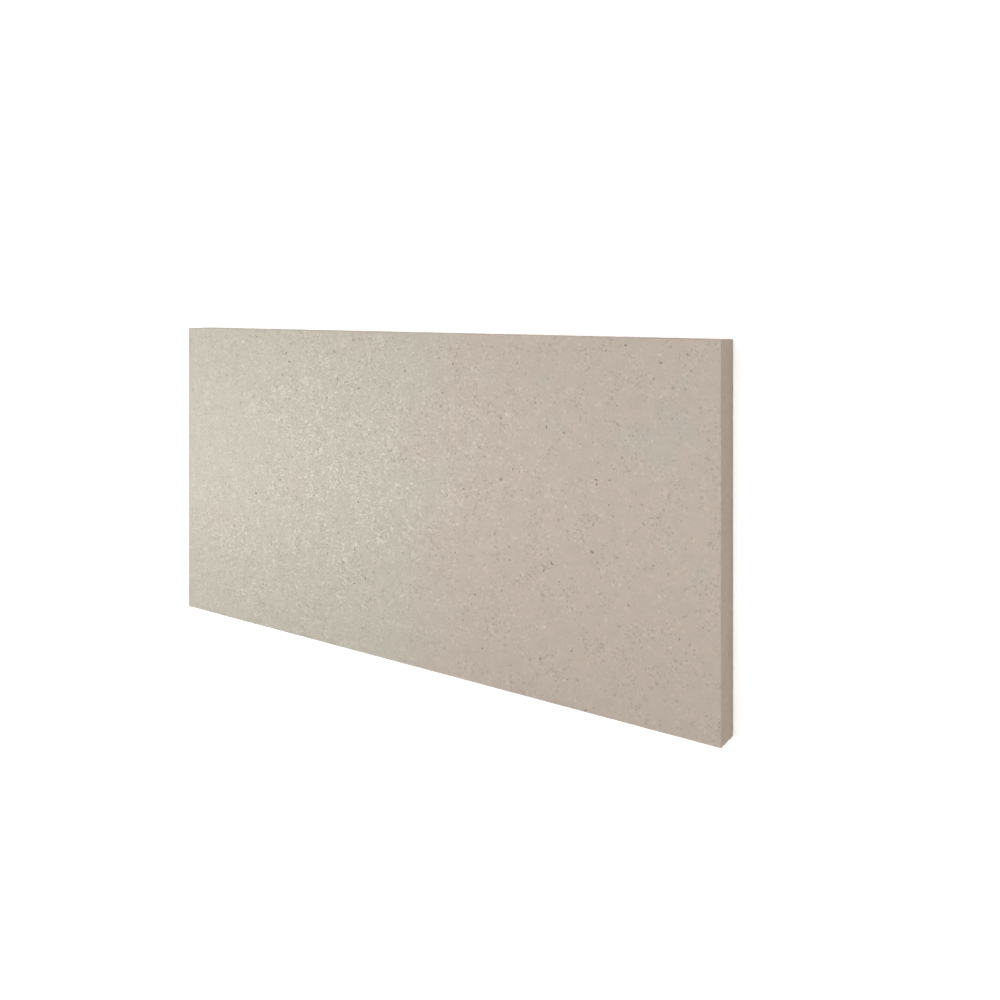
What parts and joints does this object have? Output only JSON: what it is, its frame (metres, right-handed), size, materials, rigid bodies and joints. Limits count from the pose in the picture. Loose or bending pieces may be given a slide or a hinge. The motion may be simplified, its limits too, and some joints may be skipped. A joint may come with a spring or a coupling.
{
  "type": "vermiculite board",
  "caption": "Flat rectangular slab of pressed vermiculite with square sawn edges, for lining stoves and fireboxes or as rigid heat insulation.",
  "frame": {"origin": "centre of the back face, which the board lies on", "axes": "+X along the length, +Y across the width, +Z out of the front face, upwards as the board lies flat"},
  "size_m": [0.6, 0.3, 0.025],
  "materials": {
    "pressed_vermiculite": "matt pressed flake surface, pale grey-beige with fine silvery and brown flecks; sawn edges a little darker"
  },
  "bodies": {
    "root": {"vermiculite_board": "pressed_vermiculite"}
  },
  "joints": []
}
